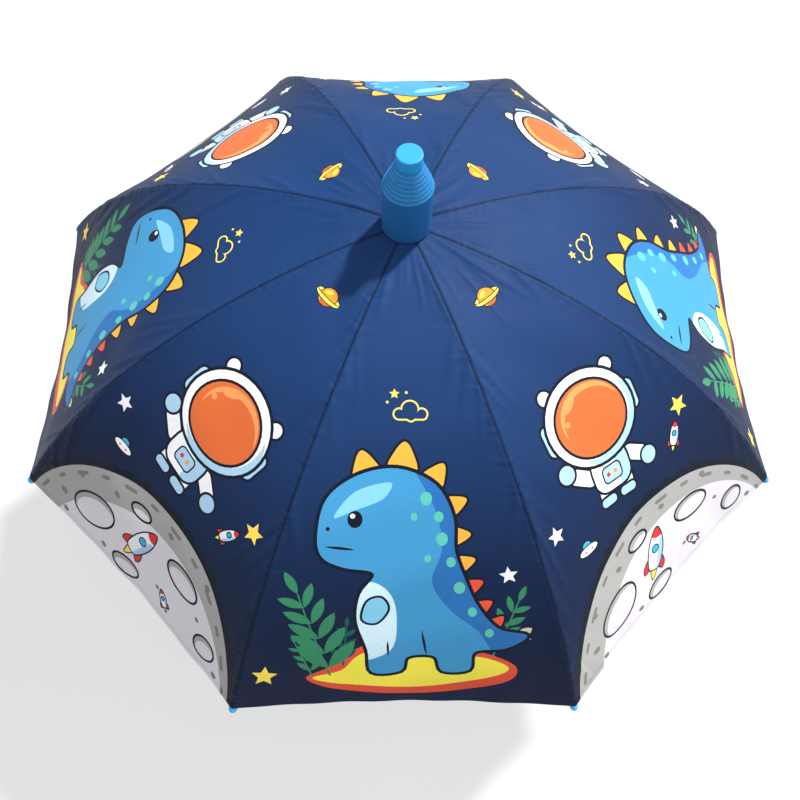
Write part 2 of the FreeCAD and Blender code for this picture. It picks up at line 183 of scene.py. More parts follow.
def lens(x, y, length, width, turn):
    """A leaf shape with two points, from one point at (x, y) in the direction of the turn."""
    points = []
    for side in (1, -1):
        for step in range(8):
            t = step / 8 if side == 1 else 1 - step / 8
            points.append((length * t, side * width / 2 * math.sin(math.pi * t) ** 0.8))
    return moved(points, (x, y), turn=turn)


def rounded_box(x, y, width, height, radius, turn=0.0):
    """A box with round corners about its centre."""
    points = []
    for corner, (sx, sy) in enumerate([(1, 1), (-1, 1), (-1, -1), (1, -1)]):
        middle = (sx * (width / 2 - radius), sy * (height / 2 - radius))
        points += [polar(middle, radius, 90 * (corner + step / 4)) for step in range(5)]
    return moved(points, (x, y), turn=turn)


def signed_area(points):
    """The area of a closed outline, positive if it runs anticlockwise."""
    p = np.array(points)
    q = np.roll(p, -1, axis=0)
    return float(np.sum(p[:, 0] * q[:, 1] - q[:, 0] * p[:, 1]) / 2)


def grow(points, width):
    """The outline moved outwards by a width, or inwards by a negative one."""
    p = np.array(points, float)
    ahead = np.roll(p, -1, axis=0) - p
    ahead /= np.maximum(np.linalg.norm(ahead, axis=1), 1e-9)[:, None]
    tangent = ahead + np.roll(ahead, 1, axis=0)
    sharp = np.maximum(np.linalg.norm(tangent, axis=1), 0.7)[:, None]
    normal = np.stack([tangent[:, 1], -tangent[:, 0]], axis=1) * 2 / sharp**2
    sign = 1 if signed_area(points) > 0 else -1
    return [tuple(q) for q in p + normal * width * sign]


class Print:
    """Flat shapes in colours. A later shape covers an earlier one, and may be kept inside another."""

    def __init__(self):
        self.shapes = []

    def paint(self, colour, points, inside=None):
        """Add a shape, and return its number."""
        self.shapes.append((colour, points, inside))
        return len(self.shapes) - 1

    def outlined(self, colour, points, line=2.4):
        """Add a shape with a black line round it."""
        self.paint("black", grow(points, line))
        return self.paint(colour, points)

    def placed(self, colour, points, at, scale, turn, line):
        """Add an outlined shape given round its own origin, scaled, turned and moved."""
        return self.outlined(colour, moved(points, at, scale, turn), line)


# ---------------- what is printed


def sprig(art, colour, x, y, height, lean, pairs):
    """A fern-like sprig that stands on (x, y) and leans to one side."""
    top = (x + lean, y - height)
    for pair in range(pairs):
        share = (pair + 0.6) / (pairs + 0.4)
        base = (x + lean * share**1.5, y - height * share)
        size = height * (0.44 - 0.2 * share)
        tilt = math.degrees(math.atan2(-height, lean * share * 2))
        for side in (-1, 1):
            art.paint(colour, lens(*base, size, size * 0.34, tilt + side * 42))
    art.paint(colour, lens(*top, height * 0.26, height * 0.09, -90 + lean))
    art.paint(colour, [(x - 1, y), (x + 1, y), (top[0] + 0.6, top[1]), (top[0] - 0.6, top[1])])


def cloud(art, x, y):
    """A small cloud in outline, with a star and two dots beside it."""
    puffs = [(x - 10, y + 2, 5.5), (x - 1, y - 2, 8), (x + 9, y + 2, 5.5), (x, y + 4, 5)]
    for colour, shrink in (("star", 0.0), ("navy", 1.4)):
        for cx, cy, radius in puffs:
            art.paint(colour, ellipse(cx, cy, radius - shrink, count=24))
        art.paint(colour, rounded_box(x, y + 3.5, 28 - 2 * shrink, 8 - 2 * shrink, 3.8 - shrink))
    art.paint("star", star(x - 14, y - 15, 4.5))
    art.paint("star", ellipse(x - 20, y - 8, 1.2, count=10))
    art.paint("star", ellipse(x - 4, y - 16, 1.2, count=10))


def back_plate(art, colour, x, y, size, turn):
    """A rounded triangular plate that points up before it is turned."""
    shape = blob([(-0.62, 0.25), (-0.42, -0.55), (0.0, -1.05), (0.42, -0.55), (0.62, 0.25)], 4)
    art.placed(colour, shape, (x, y), size, turn, 2.2)


def dinosaur(art):
    """A plain long-tailed dinosaur in side view, facing left, with plates down its back."""
    for x, y, size, turn in [(-34, 224, 19, -14), (-4, 217, 19, 6), (22, 229, 15, 34),
                             (38, 252, 13, 64), (42, 279, 12, 82), (48, 304, 11, 68)]:
        back_plate(art, "plate", x, y, size, turn)
    for x, y, size, turn in [(57, 326, 10, 62), (67, 346, 9, 56), (80, 362, 8, 40)]:
        back_plate(art, "ember", x, y, size, turn)
    body = art.outlined("skin", blob([
        (-76, 278), (-68, 246), (-42, 226), (-8, 220), (24, 234), (39, 262), (41, 292),
        (50, 318), (62, 345), (82, 369), (108, 376), (90, 391), (62, 396), (58, 418),
        (34, 420), (26, 402), (2, 403), (-4, 420), (-30, 421), (-34, 394), (-43, 362),
        (-40, 334), (-28, 314), (-54, 308), (-72, 298),
    ]), 3.2)
    art.paint("skin_dark", blob([
        (4, 214), (34, 226), (50, 262), (52, 300), (72, 344), (112, 378), (84, 400),
        (64, 372), (38, 350), (22, 322), (30, 292), (26, 262), (16, 240),
    ]), body)
    art.paint("skin_light", blob([(-62, 262), (-44, 240), (-14, 232), (-20, 246), (-44, 256)]), body)
    art.paint("belly", blob([
        (-30, 322), (-14, 334), (-8, 360), (-14, 396), (-50, 404), (-52, 350), (-44, 330),
    ]), body)
    for x, y, radius in [(16, 246, 5), (27, 262, 4), (30, 282, 5), (38, 303, 4), (46, 328, 5),
                         (58, 352, 4), (74, 374, 4), (6, 262, 3), (18, 300, 3)]:
        art.paint("mint", ellipse(x, y, radius, radius * 1.2, count=18), body)
    art.paint("black", ellipse(-44, 264, 6.4, 7.6))
    art.paint("white", ellipse(-46, 261, 2.2, count=14))
    art.paint("black", lens(-70, 288, 26, 2.6, 8))
    art.paint("black", ellipse(-67, 272, 1.8, count=12))
    art.outlined("skin_light", blob([(-34, 342), (-22, 338), (-16, 350), (-26, 364), (-38, 360)]), 2.2)
    art.paint("black", lens(14, 372, 30, 2.4, 80))
    art.paint("black", lens(-16, 384, 18, 2.2, 88))


def dinosaur_gore():
    """The print with the dinosaur on a patch of sand."""
    art = Print()
    cloud(art, 3, 172)
    art.paint("ember", blob([
        (-90, 426), (-70, 414), (-46, 394), (-18, 380), (14, 380), (44, 392), (74, 398),
        (100, 412), (96, 430), (60, 443), (10, 450), (-34, 447), (-70, 440),
    ]))
    art.paint("sand", blob([
        (-84, 426), (-58, 418), (-42, 400), (-14, 388), (16, 388), (44, 398), (76, 404),
        (94, 414), (84, 424), (52, 434), (8, 441), (-34, 438), (-66, 434),
    ]))
    sprig(art, "leaf_dark", -56, 412, 44, 4, 3)
    sprig(art, "leaf", -68, 424, 92, -26, 5)
    sprig(art, "leaf", -84, 424, 40, -14, 3)
    sprig(art, "leaf", 78, 402, 62, 20, 4)
    art.paint("beige", lens(98, 378, 17, 9, -38))
    art.paint("beige", lens(100, 376, 12, 6, 20))
    dinosaur(art)
    art.paint("star", star(-127, 421, 12, 8))
    art.paint("white", star(88, 315, 8.5, -10))
    return art


def planet(art, x, y):
    """A small ringed planet."""
    turn = 3
    art.outlined("star", ellipse(x, y, 13.5, 4.4, turn), 0.9)
    ball = art.outlined("planet", ellipse(x, y, 8.4), 0.9)
    art.paint("planet_dark", ellipse(x + 3, y + 5, 8, 4), ball)
    art.paint("sand", ellipse(x - 2, y - 4, 4, 1.6, -20), ball)
    around = np.linspace(0, math.pi, 17)
    front = [(13.5 * math.cos(a), 4.4 * math.sin(a)) for a in around]
    back = [(12.5 * math.cos(a), 1.4 * math.sin(a)) for a in around[::-1]]
    art.placed("star", front + back, (x, y), 1.0, turn, 0.9)


def rocket(art, x, y, scale, turn):
    """A plain white rocket with a red nose and fins and a round window."""
    at = (x, y)
    for side in (-1, 1):
        fin = [(side * 7, 4), (side * 16, 16), (side * 15, 25), (side * 5, 18)]
        art.placed("red", blob(fin, 3), at, scale, turn, 1.3)
    art.placed("star", blob([(-5, 20), (0, 22), (5, 20), (3, 30), (0, 36), (-3, 30)], 3), at,
               scale, turn, 1.3)
    hull = blob([(0, -30), (8, -18), (11, 0), (8, 20), (0, 23), (-8, 20), (-11, 0), (-8, -18)], 4)
    body = art.placed("white", hull, at, scale, turn, 1.5)
    art.paint("red", moved(ellipse(0, -30, 13, count=20), at, scale, turn), body)
    art.paint("suit_shade", moved(rounded_box(8, 4, 8, 40, 3), at, scale, turn), body)
    art.placed("glass", ellipse(-1, -4, 4.6, count=18), at, scale, turn, 1.2)


def astronaut(art, x, y, scale, turn):
    """A floating astronaut whose visor is blank."""

    def part(colour, points, line=2.4):
        """Add an outlined piece of the figure."""
        return art.placed(colour, points, (x, y), scale, turn, line)

    def mark(colour, points, inside=None):
        """Add a plain shape on the figure."""
        art.paint(colour, moved(points, (x, y), scale, turn), inside)

    for side in (-1, 1):
        part("white", rounded_box(side * 13, 76, 17, 22, 7))
        part("suit_shade", rounded_box(side * 13, 85, 19, 9, 4))
    part("white", rounded_box(-34, 48, 32, 15, 7, 34))
    part("suit_shade", ellipse(-50, 36, 9))
    part("white", rounded_box(34, 56, 30, 15, 7, 30))
    part("suit_shade", ellipse(48, 66, 9))
    torso = part("white", rounded_box(0, 56, 46, 40, 14))
    mark("suit_shade", rounded_box(16, 58, 18, 44, 6), torso)
    part("suit_shade", rounded_box(0, 60, 22, 15, 4), 1.6)
    mark("red", ellipse(-5, 60, 2.4, count=12))
    mark("planet", ellipse(4, 60, 2.4, count=12))
    for side in (-1, 1):
        part("suit_shade", rounded_box(side * 50, 0, 15, 30, 6))
        part("white", ellipse(side * 38, -38, 7))
    helmet = part("white", ellipse(0, 0, 52, 46), 3.0)
    mark("suit_shade", ellipse(10, 8, 46, 42), helmet)
    mark("white", ellipse(-2, -3, 48, 43), helmet)
    visor = part("visor", ellipse(0, 1, 41, 36), 2.6)
    mark("visor_light", ellipse(2, -2, 36, 31), visor)
    mark("visor", ellipse(4, 4, 36, 31), visor)
    mark("visor_light", lens(-24, -14, 22, 6, -40), visor)
    mark("visor_light", ellipse(-27, -5, 3, count=12), visor)


def saucer(art, x, y):
    """A tiny flying saucer."""
    art.outlined("glass", ellipse(x, y - 4, 5, 5, count=18), 1.2)
    art.outlined("white", ellipse(x, y, 11, 4, 8, count=24), 1.3)
    art.paint("ember", ellipse(x - 4, y, 1.2, count=8))
    art.paint("ember", ellipse(x + 4, y + 1, 1.2, count=8))


def moon(art):
    """A moon with plain craters that rises over the hem."""
    middle, radius = (0, 507), 158
    for step in range(24):
        bearing = -176 + 7.6 * step
        wide = 12 if step % 3 else 19
        art.paint("black", rounded_box(*polar(middle, radius + 1, bearing), 15, wide, 4, bearing))
    disc = art.outlined("moon_grey", ellipse(*middle, radius, count=120), 6.0)
    art.paint("moon", ellipse(14, 522, 140, 146, count=90), disc)
    for step in range(13):
        bearing = -168 + 12.4 * step
        spot = polar(middle, radius - 8, bearing)
        art.paint("moon_dark", rounded_box(*spot, 4, 11 + 5 * (step % 2), 2, bearing), disc)
    for x, y, wide, tall, turn in [(-70, 420, 27, 17, -24), (52, 396, 22, 11, 14),
                                   (104, 436, 13, 11, 0), (-14, 446, 17, 9, -6),
                                   (-20, 374, 12, 6, -4)]:
        pit = art.outlined("moon_grey", ellipse(x, y, wide, tall, turn), 2.4)
        art.paint("moon", ellipse(x + 3, y + 4, wide, tall, turn), pit)
    for x, y, size in [(-112, 432, 5), (-98, 396, 4), (-52, 380, 4), (20, 366, 4), (78, 376, 4),
                       (84, 416, 3), (-104, 452, 4), (-46, 448, 4), (126, 452, 4), (30, 430, 3)]:
        art.paint("moon_dark", ellipse(x, y, size, size * 0.7, 20, count=16), disc)


def astronaut_gore():
    """The print with the planet, the astronaut and the moon."""
    art = Print()
    planet(art, 1, 98)
    astronaut(art, 4, 240, 0.93, 13)
    art.paint("white", star(-90, 296, 9, 12))
    art.paint("star", star(87, 295, 10.5, -8))
    moon(art)
    saucer(art, -70, 333)
    rocket(art, 68, 316, 0.42, 38)
    rocket(art, -6, 404, 0.86, 28)
    rocket(art, 42, 436, 0.34, -40)
    return art


# ---------------- the cloth's shape

LENGTH_ANGLES = np.linspace(0, TIP_ANGLE * 1.02, 500)
SLOPES = DOME * np.hypot(math.cos(HALF) * np.cos(LENGTH_ANGLES), np.sin(LENGTH_ANGLES))
STEPS = (SLOPES[1:] + SLOPES[:-1]) / 2 * np.diff(LENGTH_ANGLES)
LENGTHS = np.concatenate([[0], np.cumsum(STEPS)])
GORE_LENGTH = float(np.interp(TIP_ANGLE, LENGTH_ANGLES, LENGTHS))
STRAP_LEVEL = GORE_LENGTH - 24


def angle_at(length):
    """The angle off the vertical, about the dome's centre, at a length down the gore."""
    return np.interp(length, LENGTHS, LENGTH_ANGLES)


def half_width(length):
    """Half the gore's width at a length down it."""
    return DOME * np.sin(angle_at(length)) * math.sin(HALF)


def smooth(x):
    """A soft step from 0 to 1."""
    x = np.clip(x, 0, 1)
    return x * x * (3 - 2 * x)


def seam_ripple(rib, length):
    """The fine pucker along one seam. Both gores on the seam share it."""
    chance = np.random.default_rng(100 + rib)
    total = np.zeros_like(length)
    for wave in (6.3, 8.7, 12.3, 17.9):
        total += np.sin(math.tau * (length / wave + chance.uniform()))
    return total / 4


def tension_lines(gore, y, length):
    """Faint straight wrinkles that leave the seams and run down and inwards."""
    chance = np.random.default_rng(200 + gore)
    total = np.zeros_like(length)
    for _ in range(16):
        side = chance.choice([-1.0, 1.0])
        start = chance.uniform(80, 400)
        run, lean = chance.uniform(45, 120), math.radians(chance.uniform(8, 34))
        height, width = chance.uniform(0.35, 0.8), chance.uniform(2.6, 4.5)
        seam_turn = math.atan2(half_width(start + 1) - half_width(start), 1) - lean
        along = np.array([math.sin(seam_turn) * side, math.cos(seam_turn)])
        dy, dl = y - side * half_width(start), length - start
        t = (dy * along[0] + dl * along[1]) / run
        off = dy * along[1] - dl * along[0]
        shape = np.exp(-(off / width) ** 2) - 0.5 * np.exp(-((off - 2 * width) / width) ** 2)
        total += height * shape * smooth(t / 0.15) * smooth((1 - t) / 0.7)
    return total


def crown_creases(gore, y, length):
    """Fine creases that fan out from the crown."""
    chance = np.random.default_rng(500 + gore)
    bearing = np.arctan2(y, length)
    total = np.zeros_like(length)
    for _ in range(9):
        turn, start = chance.uniform(-0.33, 0.33), chance.uniform(12, 60)
        run, width = chance.uniform(35, 95), chance.uniform(1.8, 3.0)
        off = (bearing - turn) * length - 0.02 * (length - start) * chance.uniform(-4, 4)
        t = (length - start) / run
        total += (chance.uniform(0.35, 0.65) * np.exp(-(off / width) ** 2)
                  * smooth(t / 0.2) * smooth((1 - t) / 0.6))
    return total


def billow(gore, y, length):
    """Wide, shallow unevenness of the stretched cloth."""
    chance = np.random.default_rng(300 + gore)
    total = np.zeros_like(length)
    for wave in (60, 85, 120, 150):
        heading = chance.uniform(0, math.pi)
        phase = chance.uniform(0, math.tau)
        total += np.sin(math.tau * (y * math.cos(heading) + length * math.sin(heading)) / wave + phase)
    return 0.28 * total


def lift_at(gore, y, length):
    """How far the open cloth stands off the plain dome."""
    width = half_width(length)
    edge = width - np.abs(y)
    share = np.clip(np.abs(y) / width, 0, 1)
    free = 1 - share**4
    hem = GORE_LENGTH - length
    phase = np.random.default_rng(400 + gore).uniform(0, math.tau)
    left, right = seam_ripple(gore, length), seam_ripple(gore % GORES + 1, length)
    ripple = 0.5 * np.where(y < 0, left, right) * np.exp(-edge / 9) * smooth((length - 15) / 30)
    sag = -SAG * (length / GORE_LENGTH) ** 1.5 * (1 - share**2)
    groove = -0.45 * np.exp(-(edge / 0.9) ** 2)
    roll = 0.22 * np.exp(-(((edge - 3.2) / 1.8) ** 2))
    wave = 0.5 * free * np.exp(-hem / 20) * np.sin(math.tau * y / 57 + phase)
    folded_edge = 0.3 * smooth((HEM_FOLD - hem) / 0.8)
    stitched = -0.22 * np.exp(-(((hem - HEM_STITCH) / 0.7) ** 2))
    lines = tension_lines(gore, y, length) * smooth(edge / 3) * smooth(hem / 12)
    loose = billow(gore, y, length) * free * smooth((length - 30) / 60)
    creases = crown_creases(gore, y, length) * smooth(edge / 2)
    return sag + groove + roll + ripple + wave + folded_edge + stitched + lines + loose + creases


def open_place(gore, y, length, lift):
    """Points on the open canopy, with the gore centred on +X."""
    angle = angle_at(length)
    share = np.clip(np.abs(y) / half_width(length), 0, 1) ** 4
    zero = np.zeros_like(y)
    middle = np.stack([np.sin(angle), zero, math.cos(HALF) * np.cos(angle)], axis=1)
    middle /= np.linalg.norm(middle, axis=1)[:, None]
    seam = np.stack([np.sin(angle) * math.cos(HALF), np.sign(y) * np.sin(angle) * math.sin(HALF),
                     np.cos(angle)], axis=1)
    normal = middle * (1 - share)[:, None] + seam * share[:, None]
    normal /= np.linalg.norm(normal, axis=1)[:, None]
    place = np.stack([DOME * np.sin(angle) * math.cos(HALF), y, DOME_Z + DOME * np.cos(angle)], axis=1)
    return place + normal * (lift_at(gore, y, length) + lift)[:, None]


JOINTS = {joint["name"]: joint for joint in frame["joints"]}


def pivot(name):
    """A joint's place as (radius, height), in millimetres."""
    x, y, z = JOINTS[name]["pos_m"]
    return math.hypot(x, y) / MM, z / MM


CROWN_PIVOT = pivot("canopy_fold")
FLEX_PIVOT = pivot("rib_1_flex")
FOLD = math.radians(JOINTS["canopy_fold"]["range_deg"][1])
FLEX = math.radians(-JOINTS["rib_1_flex"]["range_deg"][0])
FLEX_ANGLE = math.atan2(FLEX_PIVOT[0], FLEX_PIVOT[1] - DOME_Z)


def turned_down(radius, height, about, angle):
    """Points in a plane through the shaft's axis, turned down about a pivot."""
    dr, dz = radius - about[0], height - about[1]
    return (about[0] + dr * np.cos(angle) + dz * np.sin(angle),
            about[1] - dr * np.sin(angle) + dz * np.cos(angle))


def folded_seam(angle):
    """Radius and height of the seams once the ribs have folded."""
    lifted = DOME + 0.8
    bend_length, hub_radius, slack = 14, 6, 12
    radius, height = lifted * np.sin(angle), DOME_Z + lifted * np.cos(angle)
    past = smooth((angle - FLEX_ANGLE) * DOME / bend_length + 0.5)
    outer = turned_down(radius, height, FLEX_PIVOT, -FLEX * past)
    return turned_down(*outer, CROWN_PIVOT, FOLD * smooth((radius - hub_radius) / slack))


def closed_place(y, length, thick):
    """Points on the rolled canopy, with the gore centred on +X. Spare cloth is a flap wound on."""
    angle, width = angle_at(length), half_width(length)
    share = np.clip(np.abs(y) / width, 0, 1)
    hang = (length + (DOME * angle - length) * share**2) / DOME
    radius, height = folded_seam(hang)
    direct = np.minimum(radius * SECTOR, 2 * width)
    pitch = np.minimum(2 * LAYER_GAP / direct, 0.06)
    flap = (2 * width - direct) / 2
    path = width + y
    outward = path <= direct + flap
    q = np.where(outward, path - direct, 2 * width - path)
    wound = np.maximum(q, 0)
    side = np.where(outward, 1.0, -1.0)
    apart = np.sqrt(np.clip((flap - wound) / 2, 0, 1)) * smooth(wound / 2)
    layer = pitch * (wound + direct) + side * LAYER_GAP / 2 * apart
    layer = np.where(outward, layer, layer * smooth(wound / 3))
    layer = np.where(path < direct, pitch * path, layer)
    turn = np.log((radius + pitch * (wound + direct)) / (radius + pitch * direct)) / pitch
    theta = np.where(path < direct, -HALF + SECTOR * path / direct, HALF + turn)
    r = radius + layer + side * thick * 0.3
    return np.stack([r * np.cos(theta), r * np.sin(theta), height], axis=1)


def turned_by(points, angle):
    """Points turned about the shaft's axis and put into metres."""
    c, s = math.cos(angle), math.sin(angle)
    x, y, z = points.T
    return np.stack([x * c - y * s, x * s + y * c, z], axis=1) * MM


def turned_to(points, gore):
    """Points of a gore centred on +X, moved to the gore's own place and into metres."""
    return turned_by(points, FIRST_GORE + SECTOR * (gore - 1))


def turned_to_seam(points, rib):
    """Points of a seam above +X, moved to the seam's own place and into metres."""
    return turned_by(points, FIRST_GORE - HALF + SECTOR * (rib - 1))


# ---------------- flat meshes


def gore_points():
    """The gore's outline, and the points that let it carry seams, hem and wrinkles."""
    rows = np.arange(CROWN_HOLE, GORE_LENGTH, 3.0)
    widths = half_width(rows)
    hem_steps = np.linspace(1, -1, 81) * half_width(GORE_LENGTH)
    outline = list(zip(widths, rows))
    outline += [(y, GORE_LENGTH) for y in hem_steps]
    outline += list(zip(-widths[::-1], rows[::-1]))
    inner = []
    for edge in (0.8, 1.6, 2.8, 4.4, 5.4):
        for side in (-1, 1):
            inner += [(side * (w - edge), l) for w, l in zip(widths, rows)
                      if w > edge + 1.5 and l < GORE_LENGTH - 1]
    for spacing, first, last in ((2.3, CROWN_HOLE + 2, 130), (4.2, 132, GORE_LENGTH - 9)):
        for row, length in enumerate(np.arange(first, last, spacing * 0.866)):
            reach = half_width(length) - 6.5
            columns = np.arange(-200 + spacing / 2 * (row % 2), 200, spacing)
            inner += [(y, length) for y in columns if abs(y) < reach]
    for hem in (0.8, 4.5, HEM_STITCH, 6.3, HEM_FOLD + 0.8):
        inner += [(y * 0.955, GORE_LENGTH - hem) for y in hem_steps[:-1]]
    return outline, inner


def flat_sheet(art):
    """Triangulate a gore round the shapes of its print. Returns points, triangles and colours."""
    outline, inner = gore_points()
    jitter = np.random.default_rng(7).uniform(-0.01, 0.01, (len(inner), 2))
    shapes = [outline] + [points for _, points, _ in art.shapes]
    coords = [Vector(p) for p in np.array(inner) + jitter]
    faces = []
    for points in shapes:
        ring = points if signed_area(points) > 0 else points[::-1]
        faces.append(list(range(len(coords), len(coords) + len(ring))))
        coords += [Vector(p) for p in ring]
    verts, _, tris, _, _, sources = delaunay_2d_cdt(coords, [], faces, 1, 1e-4)
    kept, inks = [], []
    for tri, source in zip(tris, sources):
        if 0 not in source or len(tri) != 3:
            continue
        top = "navy"
        for number in sorted(source)[1:]:
            colour, _, inside = art.shapes[number - 1]
            if inside is None or inside + 1 in source:
                top = colour
        kept.append(tuple(tri[::-1]))
        inks.append(linear(COLOURS[top]))
    used, corners = np.unique(np.array(kept), return_inverse=True)
    return np.array([tuple(v) for v in verts])[used], corners.reshape(-1, 3), np.array(inks)


def linear(code):
    """A colour code as linear red, green and blue."""
    parts = [int(code[i:i + 2], 16) / 255 for i in (0, 2, 4)]
    return [p / 12.92 if p <= 0.04045 else ((p + 0.055) / 1.055) ** 2.4 for p in parts]


def doubled(faces, count):
    """Faces of a thin closed sheet: the faces, a copy under them and the quads between their edges."""
    under = [[corner + count for corner in face[::-1]] for face in faces]
    edges = {}
    for face in faces:
        for a, b in zip(face, face[1:] + face[:1]):
            edges[a, b] = True
    rim = [[b, a, a + count, b + count] for a, b in edges if (b, a) not in edges]
    return faces + under + rim


def add_object(name, data):
    """An object in the scene that holds a mesh, a light or a camera."""
    made = bpy.data.objects.new(name, data)
    bpy.context.scene.collection.objects.link(made)
    return made


def mesh_object(name, rest, faces, folded=None):
    """A mesh piece, with a shape for the folded umbrella that follows the runner."""
    mesh = bpy.data.meshes.new(name)
    mesh.from_pydata(rest.tolist(), [], faces)
    mesh.polygons.foreach_set("use_smooth", [True] * len(mesh.polygons))
    piece = add_object(name, mesh)
    if folded is not None:
        piece.shape_key_add(name="open")
        key = piece.shape_key_add(name="folded")
        key.data.foreach_set("co", folded.astype(np.float32).ravel())
        follow_runner(key)
    return piece


def runner_travel():
    """How far the runner comes down when the umbrella folds: twice the drop of the rivet."""
    rivet = pivot("stretcher_1_swing")
    _, low = turned_down(*rivet, CROWN_PIVOT, FOLD)
    return 2 * (rivet[1] - low) * MM


def follow_runner(key):
    """Drive a shape from 0 to 1 as the runner goes down its travel."""
    curve = key.driver_add("value")
    curve.driver.type = "SUM"
    variable = curve.driver.variables.new()
    variable.type = "TRANSFORMS"
    variable.targets[0].id = frame["bodies"]["runner"]
    variable.targets[0].transform_type = "LOC_Z"
    variable.targets[0].transform_space = "WORLD_SPACE"
    slope = curve.modifiers[0]
    slope.mode = "POLYNOMIAL"
    slope.poly_order = 1
    slope.coefficients = (0.0, -1 / runner_travel())


def shell(gore, sheet):
    """A thin two-sided gore from its flat sheet."""
    flat, tris, inks = sheet
    y, length = flat.T
    count = len(flat)
    upper, lower = np.full(count, CLOTH_THICK / 2), np.full(count, -CLOTH_THICK / 2)
    lower -= 0.35 * smooth((HEM_FOLD - (GORE_LENGTH - length)) / 0.8)
    rest = np.concatenate([turned_to(open_place(gore, y, length, t), gore) for t in (upper, lower)])
    folded = np.concatenate([turned_to(closed_place(y, length, t), gore) for t in (upper, lower)])
    faces = doubled(tris.tolist(), count)
    piece = mesh_object(f"gore_{gore}_cloth", rest, faces, folded)
    navy, deep = (np.array(linear(COLOURS[name])) for name in ("navy", "navy_hem"))
    corner = tris.ravel()
    down = smooth((length[corner] - 120) / 280)[:, None]
    ground = navy * (1 - down) + deep * down
    printed = np.repeat(inks, 3, axis=0)
    is_ground = np.all(np.abs(printed - navy) < 1e-6, axis=1)[:, None]
    top = np.where(is_ground, ground, printed)
    under = ground * 0.55 + top * 0.38
    edge = half_width(length) - np.abs(y)
    # Painted shade: the top colours are darkened along each seam, as if the seam groove were in shadow.
    shade = 1 - 0.9 * np.exp(-(edge / 1.0) ** 2)
    corners = np.concatenate([
        top * shade[corner][:, None],
        under.reshape(-1, 3, 3)[:, ::-1].reshape(-1, 3),
        np.tile(deep, (4 * (len(faces) - 2 * len(tris)), 1)),
    ])
    ink = piece.data.color_attributes.new("ink", "FLOAT_COLOR", "CORNER")
    ink.data.foreach_set("color", np.column_stack([corners, np.ones(len(corners))]).ravel())
    weave = piece.data.uv_layers.new(name="weave")
    flat_twice = np.concatenate([flat, flat])
    loops = np.zeros(len(piece.data.loops), int)
    piece.data.loops.foreach_get("vertex_index", loops)
    weave.data.foreach_set("uv", (flat_twice[loops] * MM).ravel())
    normals = cloth_normals(gore, y, length)
    piece.data.normals_split_custom_set_from_vertices(np.concatenate([normals, -normals]).tolist())
    return piece, folded


def cloth_normals(gore, y, length):
    """The open cloth's true normals, from small steps across and down."""
    step, zero = 0.4, np.zeros_like(y)
    here = open_place(gore, y, length, zero)
    inward = np.where(y > 0, -step, step)
    up = np.where(length > GORE_LENGTH - 2 * step, -step, step)
    across = (open_place(gore, y + inward, length, zero) - here) / inward[:, None]
    down = (open_place(gore, y, length + up, zero) - here) / up[:, None]
    normal = np.cross(across, -down)
    normal /= np.linalg.norm(normal, axis=1)[:, None]
    return turned_to(normal, gore) / MM


def stitch_mesh(stitches):
    """Flat spindles from (y, length, direction) stitches. Returns (y, length, lift) rows and faces."""
    reach, girth, height = 0.36 * STITCH_PITCH, 0.22, 0.4
    points, faces = [], []
    for y, length, (dy, dl) in stitches:
        base = len(points)
        for uy, ul, lift in ((reach * dy, reach * dl, 0.1), (girth * dl, -girth * dy, 0.16)):
            points += [(y - uy, length - ul, lift), (y + uy, length + ul, lift)]
        points.append((y, length, height))
        faces += [(base + a, base + b, base + 4) for a, b in ((0, 2), (2, 1), (1, 3), (3, 0))]
    return np.array(points).T, faces


def stitching(gore):
    """The stitches along one gore's hem."""
    level = GORE_LENGTH - HEM_STITCH
    side = float(half_width(level)) - 4
    hem = np.arange(-side, side, STITCH_PITCH)
    (y, length, lift), faces = stitch_mesh([(y, level, (1, 0)) for y in hem])
    rest = turned_to(open_place(gore, y, length, lift + CLOTH_THICK / 2), gore)
    folded = turned_to(closed_place(y, length, lift + CLOTH_THICK / 2), gore)
    return mesh_object(f"gore_{gore}_stitches", rest, faces, folded)


def canopy():
    """Eight printed gores with their stitches. Returns the folded cloth's points."""
    sheets = [flat_sheet(dinosaur_gore()), flat_sheet(astronaut_gore())]
    cloth, thread = fabric_material(), thread_material()
    bundle = []
    for gore in range(1, GORES + 1):
        piece, folded = shell(gore, sheets[(gore - 1) % 2])
        dress(piece, cloth, "root")
        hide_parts(f"gore_{gore}")
        dress(stitching(gore), thread, "root")
        bundle.append(folded)
    return np.concatenate(bundle)


def seam_tape(rib):
    """The binding sewn under one seam, with its stitches showing as a ridge."""
    thick, row = 0.25, 1.5
    half = np.array([row - 0.2, row, row + 0.2, TAPE_WIDTH / 2 - 0.4, TAPE_WIDTH / 2])
    across = np.concatenate([-half[::-1], [0.0], half])
    angles = np.linspace(0.03, TIP_ANGLE - 0.012, 130)
    angle, side = (grid.ravel() for grid in np.meshgrid(angles, across, indexing="ij"))
    narrow = np.clip(angle * 12, 0.2, 1)
    side = side * narrow
    stitched = 0.12 * np.exp(-(((np.abs(side) / narrow - row) / 0.25) ** 2))
    drop = 0.62 + np.abs(side) * math.sin(HALF) * np.sin(angle) * 0.9
    rest, folded = [], []
    for lift in (stitched, -thick - stitched):
        r = DOME - drop + lift
        rest.append(np.stack([r * np.sin(angle), side, DOME_Z + r * np.cos(angle)], axis=1))
        radius, height = folded_seam(angle)
        folded.append(np.stack([radius - 0.9 + lift, side * 0.5, height], axis=1))
    rest, folded = (turned_to_seam(np.concatenate(places), rib) for places in (rest, folded))
    piece = mesh_object(f"seam_{rib}_tape", rest, strip_faces(len(angles), len(across)), folded)
    dress(piece, tape_material(), "root")


